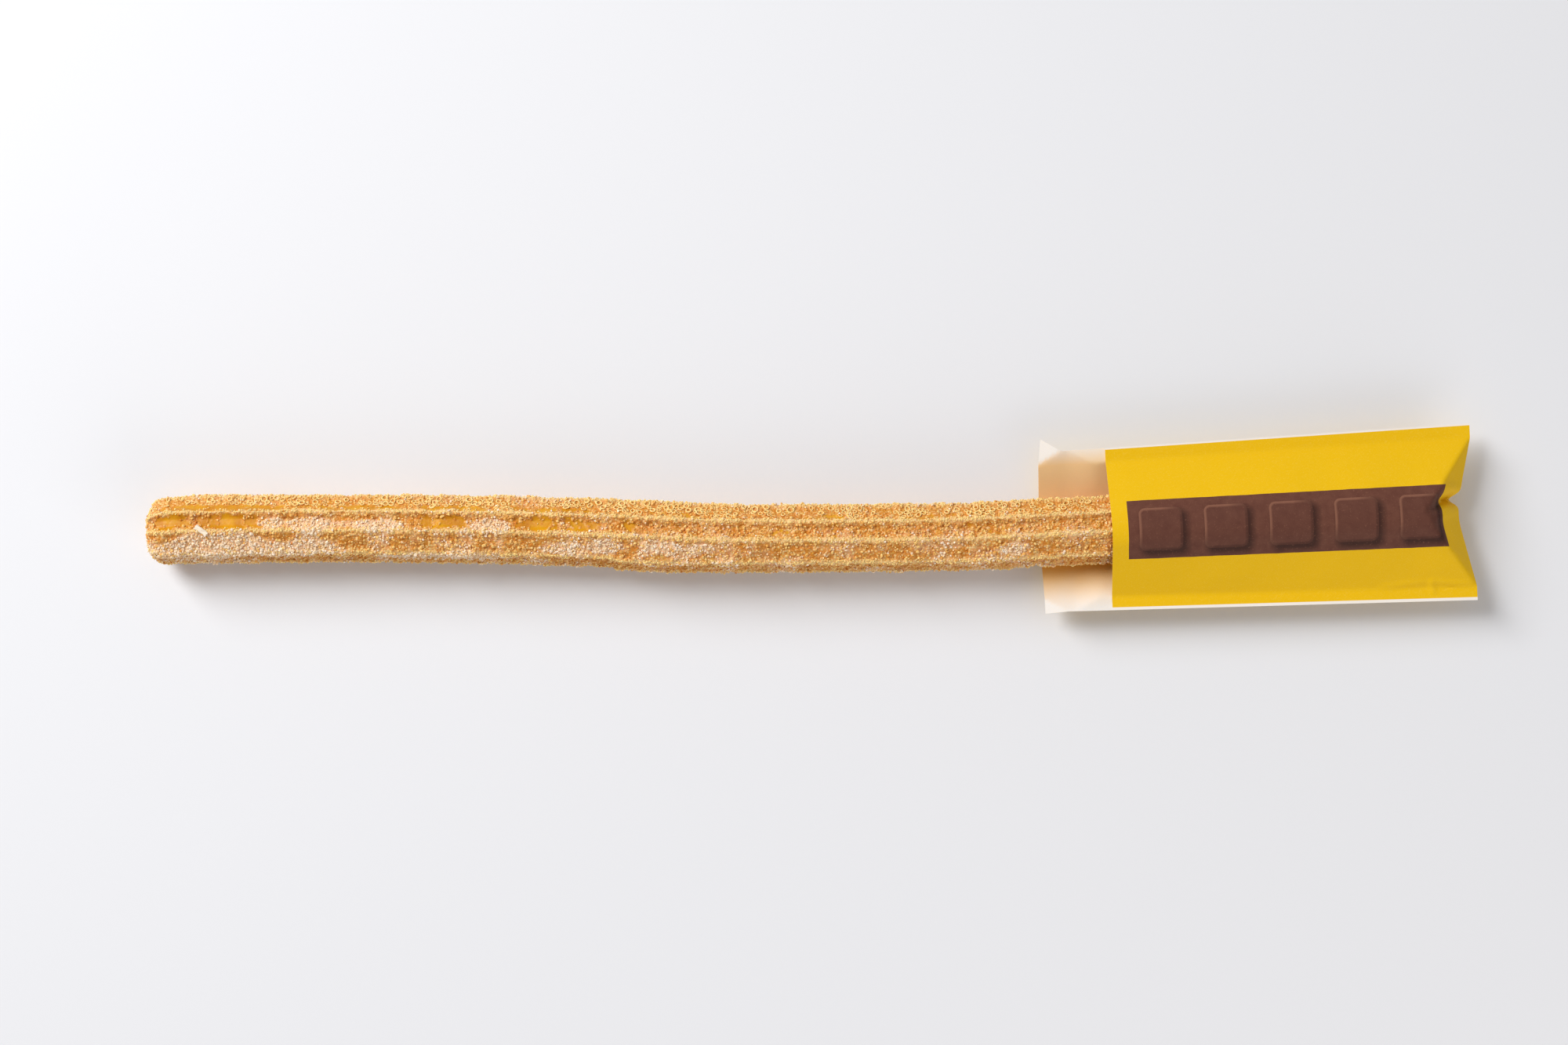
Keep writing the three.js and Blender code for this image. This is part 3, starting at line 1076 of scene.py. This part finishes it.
def crease_paper(shape, along):
    """Raises the small creases of the front panel."""
    spots = np.column_stack((along, shape[:, 1])) / MM
    for x, y, end_x, end_y, height, width in CREASES:
        line = np.array((end_x - x, end_y - y))
        run = np.clip((spots - (x, y)) @ line / (line @ line), 0, 1)
        away = np.linalg.norm(spots - (x, y) - run[:, None] * line, axis=1)
        shape[:, 2] += height * MM * np.exp(-((away / width) ** 2)) * (4 * run * (1 - run)) ** 0.5


def pucker_end(shape, along, sleeve):
    """Pushes in the fold where the shut end has buckled, with a swell on each side of it."""
    off = shape[:, 1] / MM - PUCKER_OFFSET
    near_end = smooth_step(sleeve.depth - PUCKER_LENGTH, sleeve.depth, along)
    fold = np.exp(-((off / PUCKER_WIDTH) ** 2))
    swell = np.exp(-(((np.abs(off) - 2.2 * PUCKER_WIDTH) / PUCKER_WIDTH) ** 2))
    shape[:, 0] -= near_end**2 * fold * PUCKER[0] * MM
    shape[:, 2] += near_end * (1 - near_end * 0.75) * (0.4 * swell - fold) * PUCKER[1] * MM


def add_panel(name, start, rise, up, sleeve):
    """A sheet of paper from start to the shut end, folded to its half of the lens."""
    deselect_all()
    length = sleeve.depth - start
    bpy.ops.mesh.primitive_grid_add(
        x_subdivisions=round(length / PAPER_STEP),
        y_subdivisions=round(sleeve.width / PAPER_STEP),
        size=1,
        calc_uvs=True,
    )
    panel = bpy.context.object
    panel.name = name
    rows = places(panel)
    along = start + (rows[:, 0] + 0.5) * length
    across = rows[:, 1] * 2
    shape = folded(along, across, rise, sleeve)
    free = smooth_step(0.5 * MM, 4 * MM, shape[:, 2])
    laid_out = np.column_stack((along, shape[:, 1], 0 * along))
    shape[:, 2] += WAVE * free * wobble(laid_out, WAVE_SIZE, WAVE_SEED)
    if up > 0:
        crease_paper(shape, along)
    else:
        shape[:, 2] = np.minimum(shape[:, 2], rise + sleeve.paper + HEM_GAP)
    shape[:, 2] *= up
    pucker_end(shape, along, sleeve)
    opened = np.zeros(len(rows))
    if up < 0:
        opened = sum(open_corner(shape, *corner) for corner in OPEN_CORNERS)
        panel.data.flip_normals()
    write_attribute(panel, "opened", smooth_step(0, 0.12, opened))
    move_to(panel, shape)
    return panel


def place_panel(panel, sleeve):
    """Gives a panel its thickness and puts it where the sleeve lies."""
    rows = places(panel)
    turn = Matrix.Rotation(SLEEVE_TILT, 3, "Z")
    rows = rows @ np.array(turn).T
    rows += np.array((MOUTH.x, MOUTH.y, HEM_HEIGHT))
    move_to(panel, rows)
    apply_modifier(
        panel,
        "SOLIDIFY",
        thickness=sleeve.paper,
        offset=-1,
        material_offset=1,
        material_offset_rim=1,
        use_even_offset=True,
    )


DEEP_YELLOW = (0.8, 0.5, 0.008)
PALE_YELLOW = (1.0, 0.8, 0.2)
PRINTED_SHADE = (0.03, 0.014, 0.012)
PIECE_BROWN = (0.1, 0.04, 0.03)


def print_material(sleeve, banded):
    """The printed outside: a yellow field inside a thin bare margin and, in front, the brown bar."""
    material, tree = new_material("printed_paper" if banded else "printed_back")
    place = tree.node("ShaderNodeTexCoord", {}, {}, "Object")
    unfolded = tree.node("ShaderNodeUVMap", {"uv_map": "UVMap"})
    u = tree.node("ShaderNodeSeparateXYZ", {}, {0: unfolded}, "X")
    v = u.other("Y")
    along = u * (sleeve.depth / MM)
    across = (v - 0.5) * (sleeve.width / MM)
    half = sleeve.width / MM / 2
    fibre = tree.noise(place, 0.35 * MM, 3)
    cloud = tree.noise(place, 14 * MM, 3)
    yellow = tree.mix(cloud.step(0.5, 0.6) * 0.32, sleeve.yellow, DEEP_YELLOW)
    yellow = tree.mix(fibre.step(0.62, 0.2) * 0.16, yellow, PALE_YELLOW)
    field = (across + half).step(0.9, 0.08) * (half - across).step(0.55, 0.08)
    colour = tree.mix(field, sleeve.white, yellow)
    if banded:
        bar, brown = bar_print(tree, along, across, sleeve, place)
        colour = tree.mix(bar, colour, brown)
    tree.surface(
        {
            "Base Color": colour,
            "Roughness": 0.45 + fibre * 0.12,
            "Specular IOR Level": 0.08,
            "Normal": tree.bump(fibre * 0.4 + tree.noise(place, 2.5 * MM, 2), 0.05 * MM),
        }
    )
    return material


BAR = (5.2, 111.3, 10.2)  # where the bar starts and ends along the paper, and half its width, in mm
BAR_SHIFT = 0.7
PIECES = (16.0, 21.4, 7.1, 2.2)  # the first piece's middle, the pitch, half a piece's side, its corner


def bar_print(tree, along, across, sleeve, place):
    """The brown bar with its row of plain pieces: its mask and its colour."""
    start, end, half_bar = BAR
    first, pitch, half_piece, corner = PIECES
    edge = tree.noise(place, 5 * MM, 1) * 0.25
    bar = (along - start).step(edge, 0.1) * (end - along).step(edge, 0.1)
    across = across + BAR_SHIFT
    bar = bar * (half_bar - abs(across)).step(edge, 0.1)
    local = (along - first + pitch / 2).math("FLOORED_MODULO", pitch) - pitch / 2
    side = rounded_square(local, across, half_piece, corner)
    shade = rounded_square(local - 1.3, across + 1.5, half_piece, corner)
    piece = (side * -1).step(0, 0.15)
    rim = piece * (side + 0.75).step(0, 0.5)
    lit = (across - local).step(1.5, 9)
    cloud = tree.noise(place, 3 * MM, 4)
    specks = tree.noise(place, 0.5 * MM, 1).step(0.68, 0.06)
    clouded = tree.mix(0.22, sleeve.brown, sleeve.brown_light)
    brown = tree.mix(cloud.step(0.5, 0.5), sleeve.brown, clouded)
    shaded = (shade * -1).step(-0.6, 2.6) * (1 - piece)
    brown = tree.mix(shaded * 0.75, brown, PRINTED_SHADE)
    brown = tree.mix(piece * 0.3, brown, PIECE_BROWN)
    brown = tree.mix(rim * lit * 0.6, brown, sleeve.brown_light)
    brown = tree.mix(rim * (1 - lit) * 0.4, brown, PRINTED_SHADE)
    brown = tree.mix(specks * 0.25, brown, sleeve.brown_light)
    return bar, brown


def rounded_square(x, y, half, corner):
    """The distance out of a rounded square's edge, less than 0 inside it."""
    out_x = abs(x) - (half - corner)
    out_y = abs(y) - (half - corner)
    beyond = (out_x.math("MAXIMUM", 0) ** 2 + out_y.math("MAXIMUM", 0) ** 2).math("SQRT")
    within = out_x.math("MAXIMUM", out_y).math("MINIMUM", 0)
    return beyond + within - corner


FIBRE_WHITE = (0.82, 0.79, 0.74)


def bare_paper_material(sleeve):
    """The white inside and edges of the paper, with painted warm bounce light and painted shadow from
    the churro on the inside beside it.
    """
    material, tree = new_material("bare_paper")
    place = tree.node("ShaderNodeTexCoord", {}, {}, "Object")
    unfolded = tree.node("ShaderNodeUVMap", {"uv_map": "UVMap"})
    v = tree.node("ShaderNodeSeparateXYZ", {}, {0: unfolded}, "Y")
    across = (v - 0.5) * (sleeve.width / MM)
    fibre = tree.noise(place, 0.4 * MM, 3)
    cloud = tree.noise(place, 9 * MM, 2)
    colour = tree.mix(fibre.step(0.5, 0.5) * 0.15, sleeve.white, FIBRE_WHITE)
    clean = 1 - tree.attribute("opened")
    # Painted warm bounce light from the churro, on the inside above it.
    bounce_tint_above = (28 - across).step(cloud, 7) * across.step(4, 8) * clean * 0.66
    # Painted shadow and warm bounce light from the churro, on the inside below it.
    shadow_tint_below = (across + 22).step(cloud * 3, 16) * (4 - across).step(0, 8) * clean
    colour = tree.mix(bounce_tint_above, colour, sleeve.painted_bounce)
    colour = tree.mix(shadow_tint_below, colour, sleeve.painted_bounce)
    tree.surface(
        {
            "Base Color": colour,
            "Roughness": 0.6 + fibre * 0.1,
            "Specular IOR Level": 0.3,
            "Normal": tree.bump(fibre, 0.04 * MM),
            "Subsurface Weight": 0.15,
            "Subsurface Radius": (1, 0.8, 0.6),
            "Subsurface Scale": 1 * MM,
        }
    )
    return material


class CHURRO_OT_add_sleeve(bpy.types.Operator):
    """Add the paper sleeve's front and back panels"""

    bl_idname = "churro.add_sleeve"
    bl_label = "Paper Sleeve"

    def execute(self, context):
        sleeve = context.scene.churro_sleeve
        bare = bare_paper_material(sleeve)
        front = add_panel("sleeve_front", 0, FRONT_RISE, 1, sleeve)
        back = add_panel("sleeve_back", -sleeve.overhang, BACK_DROP, -1, sleeve)
        for panel, up in ((front, 1), (back, -1)):
            panel.data.materials.append(print_material(sleeve, up > 0))
            panel.data.materials.append(bare)
            place_panel(panel, sleeve)
            with editing(panel):
                bpy.ops.mesh.select_all(action="SELECT")
                bpy.ops.mesh.normals_make_consistent(inside=False)
            bpy.ops.object.shade_smooth_by_angle(angle=math.radians(35))
        settle(front, "printed_paper", "sleeve")
        settle(back, "printed_paper", "sleeve")
        return {"FINISHED"}


# ---------------------------------------------------------------------------
# The stage

CAMERA_PLACE = (-9.34 * MM, -0.64 * MM)
SENSOR = 36
TABLE_SIZE = 8
KEY_COLOUR = (1, 0.985, 0.97)
CARD_COLOUR = (1, 0.95, 0.9)
FILL_COLOUR = (1, 0.955, 0.92, 1)
# Each light: its turn from +Y towards -X, its elevation, its distance and its width and height.
LIGHTS = {
    "soft_box": (math.radians(52), math.radians(42), 2.0, 0.75, 1.3),
    "white_card": (math.radians(215), math.radians(25), 1.1, 1.2, 0.6),
}


def table_material(stage):
    """The pale table, with broad faint clouds in it."""
    material, tree = new_material("table")
    place = tree.node("ShaderNodeTexCoord", {}, {}, "Object")
    cloud = tree.noise(place, 0.3, 2)
    colour = tree.mix(cloud * 0.3, stage.table, tuple(part * 0.97 for part in stage.table))
    tree.surface({"Base Color": colour, "Roughness": 0.6})
    return material


class CHURRO_OT_add_stage(bpy.types.Operator):
    """Add the table, the soft box, the light from all round and the camera"""

    bl_idname = "churro.add_stage"
    bl_label = "Table, Light and Camera"

    def execute(self, context):
        stage = context.scene.churro_stage
        deselect_all()
        bpy.ops.mesh.primitive_plane_add(size=TABLE_SIZE, location=(0, 0, 0))
        table = context.object
        table.name = "table"
        table.data.materials.append(table_material(stage))
        self.add_light("soft_box", stage.key, KEY_COLOUR)
        self.add_light("white_card", stage.card, CARD_COLOUR)
        self.add_world(stage)
        self.add_camera(context, stage)
        return {"FINISHED"}

    def add_light(self, name, power, colour):
        turn, elevation, distance, width, height = LIGHTS[name]
        reach = distance * math.cos(elevation)
        place = Vector((-reach * math.sin(turn), reach * math.cos(turn), distance * math.sin(elevation)))
        bpy.ops.object.light_add(type="AREA", location=place)
        light = bpy.context.object
        light.name = name
        light.data.shape = "RECTANGLE"
        light.data.size = width
        light.data.size_y = height
        light.data.energy = power
        light.data.color = colour
        light.rotation_euler = (-place).to_track_quat("-Z", "Y").to_euler()

    def add_world(self, stage):
        world = bpy.data.worlds.new("studio")
        world.use_nodes = True
        background = world.node_tree.nodes["Background"]
        background.inputs["Color"].default_value = FILL_COLOUR
        background.inputs["Strength"].default_value = stage.fill
        bpy.context.scene.world = world

    def add_camera(self, context, stage):
        bpy.ops.object.camera_add(location=(*CAMERA_PLACE, stage.height), rotation=(0, 0, 0))
        camera = context.object
        camera.data.sensor_width = SENSOR
        camera.data.lens = SENSOR * stage.height / stage.view
        camera.data.clip_start = 0.01
        context.scene.camera = camera
        context.scene.view_settings.view_transform = "Standard"


# ---------------------------------------------------------------------------
# The panel and the add-on


class CHURRO_PT_panel(bpy.types.Panel):
    """Lists what the add-on makes, with its sizes and colours"""

    bl_label = "Sugared Churro"
    bl_space_type = "VIEW_3D"
    bl_region_type = "UI"
    bl_category = "Churro"

    def draw(self, context):
        parts = (
            (CHURRO_OT_add_dough, context.scene.churro_dough),
            (CHURRO_OT_add_sugar, context.scene.churro_sugar),
            (CHURRO_OT_add_sleeve, context.scene.churro_sleeve),
            (CHURRO_OT_add_stage, context.scene.churro_stage),
        )
        for operator, settings in parts:
            box = self.layout.box()
            for name in settings.__annotations__:
                box.prop(settings, name)
            box.operator(operator.bl_idname)


SETTINGS = {
    "churro_dough": ChurroDoughSettings,
    "churro_sugar": ChurroSugarSettings,
    "churro_sleeve": ChurroSleeveSettings,
    "churro_stage": ChurroStageSettings,
}
OPERATORS = (CHURRO_OT_add_dough, CHURRO_OT_add_sugar, CHURRO_OT_add_sleeve, CHURRO_OT_add_stage)


def register():
    for name, group in SETTINGS.items():
        bpy.utils.register_class(group)
        setattr(bpy.types.Scene, name, bpy.props.PointerProperty(type=group))
    for kind in (*OPERATORS, CHURRO_PT_panel):
        bpy.utils.register_class(kind)


def unregister():
    for kind in (CHURRO_PT_panel, *reversed(OPERATORS)):
        bpy.utils.unregister_class(kind)
    for name, group in SETTINGS.items():
        delattr(bpy.types.Scene, name)
        bpy.utils.unregister_class(group)


def main():
    register()
    bpy.ops.churro.add_stage()
    bpy.ops.churro.add_dough()
    bpy.ops.churro.add_sugar()
    bpy.ops.churro.add_sleeve()


if __name__ == "__main__":
    main()
